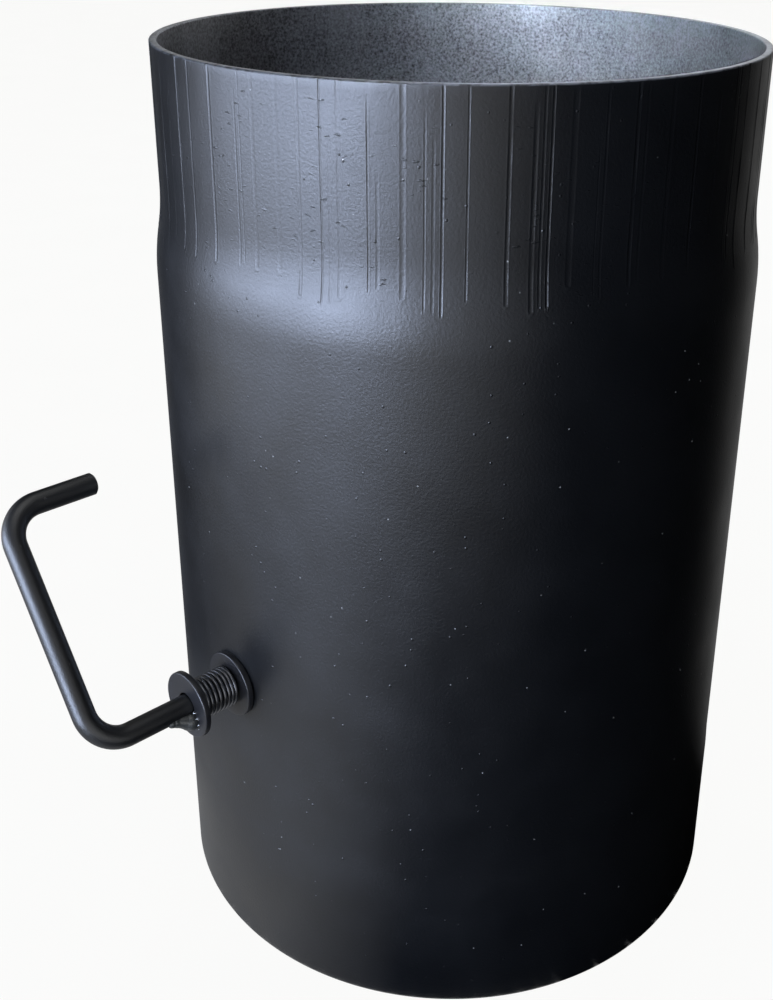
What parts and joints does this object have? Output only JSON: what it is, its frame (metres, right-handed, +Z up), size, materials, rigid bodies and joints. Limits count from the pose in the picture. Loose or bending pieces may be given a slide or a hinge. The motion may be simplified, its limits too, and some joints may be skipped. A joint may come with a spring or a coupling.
{
  "type": "flue pipe section with damper",
  "caption": "Black steel flue pipe section with a swaged spigot end and a built-in butterfly damper, turned by a bent rod handle that a friction spring holds where it is set.",
  "frame": {"origin": "on the pipe axis, in the plane of the lower rim", "axes": "+Z up along the pipe axis towards the spigot, the damper shaft along X with its handle towards -X"},
  "size_m": [0.2119, 0.1644, 0.25],
  "materials": {
    "pipe_paint": "satin black stove paint",
    "rod_paint": "satin black stove paint",
    "disc_paint": "matt black stove paint",
    "weld_metal": "thinly painted weld bead",
    "washer_paint": "satin black stove paint",
    "spring_paint": "satin black stove paint"
  },
  "bodies": {
    "pipe": {"flue_pipe": "pipe_paint", "inner_washer": "washer_paint"},
    "damper": {"damper_handle": "rod_paint", "damper_disc": "disc_paint", "disc_welds": "weld_metal", "outer_washer": "washer_paint", "washer_weld": "weld_metal", "friction_spring": "spring_paint"}
  },
  "joints": [
    {"name": "damper_turn", "type": "hinge", "parent": "pipe", "child": "damper", "pos_m": [0, 0, 0.087], "axis": [1, 0, 0], "continuous": true}
  ]
}
